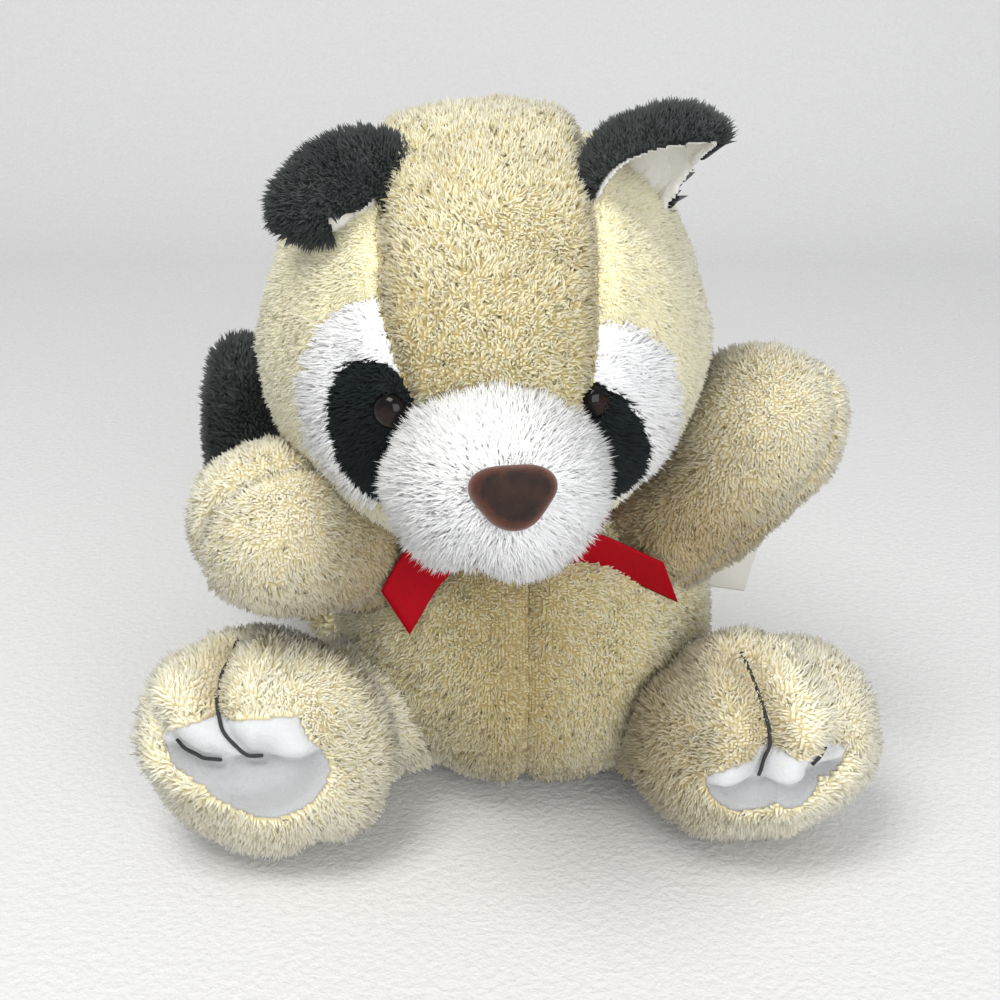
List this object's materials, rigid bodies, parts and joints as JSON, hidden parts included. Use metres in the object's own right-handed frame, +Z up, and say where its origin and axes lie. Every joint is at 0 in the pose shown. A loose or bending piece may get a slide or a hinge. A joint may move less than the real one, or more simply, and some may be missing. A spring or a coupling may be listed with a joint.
{
  "type": "plush raccoon",
  "caption": "Seated plush raccoon with raised arms, a stuffed pile-cloth body, black mask and ears, white muzzle, flocked nose and a red neck ribbon.",
  "frame": {"origin": "on the table under the seat, a little to the viewer's left of the front seam", "axes": "+Z up; -Y is the way the raccoon faces; +X is the viewer's right"},
  "size_m": [0.2087, 0.1965, 0.2069],
  "materials": {
    "tan_pile": "speckled tan pile",
    "cream_pile": "pale cream pile",
    "white_pile": "long white pile",
    "black_pile": "short black pile",
    "sole_cloth": "short brushed white nap",
    "stuffing": "loose white fibre",
    "eye_plastic": "glossy dark brown",
    "washer_plastic": "moulded white",
    "nose_flock": "flocked brown",
    "black_thread": "twisted black thread",
    "red_ribbon": "red woven ribbon",
    "label_cloth": "plain woven white tape"
  },
  "bodies": {
    "root": {"arm_left_back": "cream_pile", "arm_left_front": "cream_pile", "arm_left_stuffing": "stuffing", "arm_right_back": "cream_pile", "arm_right_front": "cream_pile", "arm_right_stuffing": "stuffing", "body_back": "cream_pile", "body_front_left": "tan_pile", "body_front_right": "tan_pile", "body_stuffing": "stuffing", "cheek_patch_left": "white_pile", "cheek_patch_right": "white_pile", "ear_left": "black_pile", "ear_lining_left": "white_pile", "ear_lining_right": "white_pile", "ear_right": "black_pile", "eye_left": "eye_plastic", "eye_left_washer": "washer_plastic", "eye_patch_left": "black_pile", "eye_patch_right": "black_pile", "eye_right": "eye_plastic", "eye_right_washer": "washer_plastic", "head_centre_gusset": "tan_pile", "head_side_left": "cream_pile", "head_side_right": "cream_pile", "head_stuffing": "stuffing", "leg_left_inner": "cream_pile", "leg_left_outer": "cream_pile", "leg_left_stuffing": "stuffing", "leg_right_inner": "cream_pile", "leg_right_outer": "cream_pile", "leg_right_stuffing": "stuffing", "muzzle_cover": "white_pile", "neck_ribbon": "red_ribbon", "nose": "nose_flock", "nose_washer": "washer_plastic", "side_label": "label_cloth", "sole_left": "sole_cloth", "sole_right": "sole_cloth", "tail_root": "tan_pile", "tail_stuffing": "stuffing", "tail_tip": "black_pile", "toe_stitch_left_1": "black_thread", "toe_stitch_left_2": "black_thread", "toe_stitch_left_3": "black_thread", "toe_stitch_right_1": "black_thread", "toe_stitch_right_2": "black_thread"}
  },
  "joints": []
}
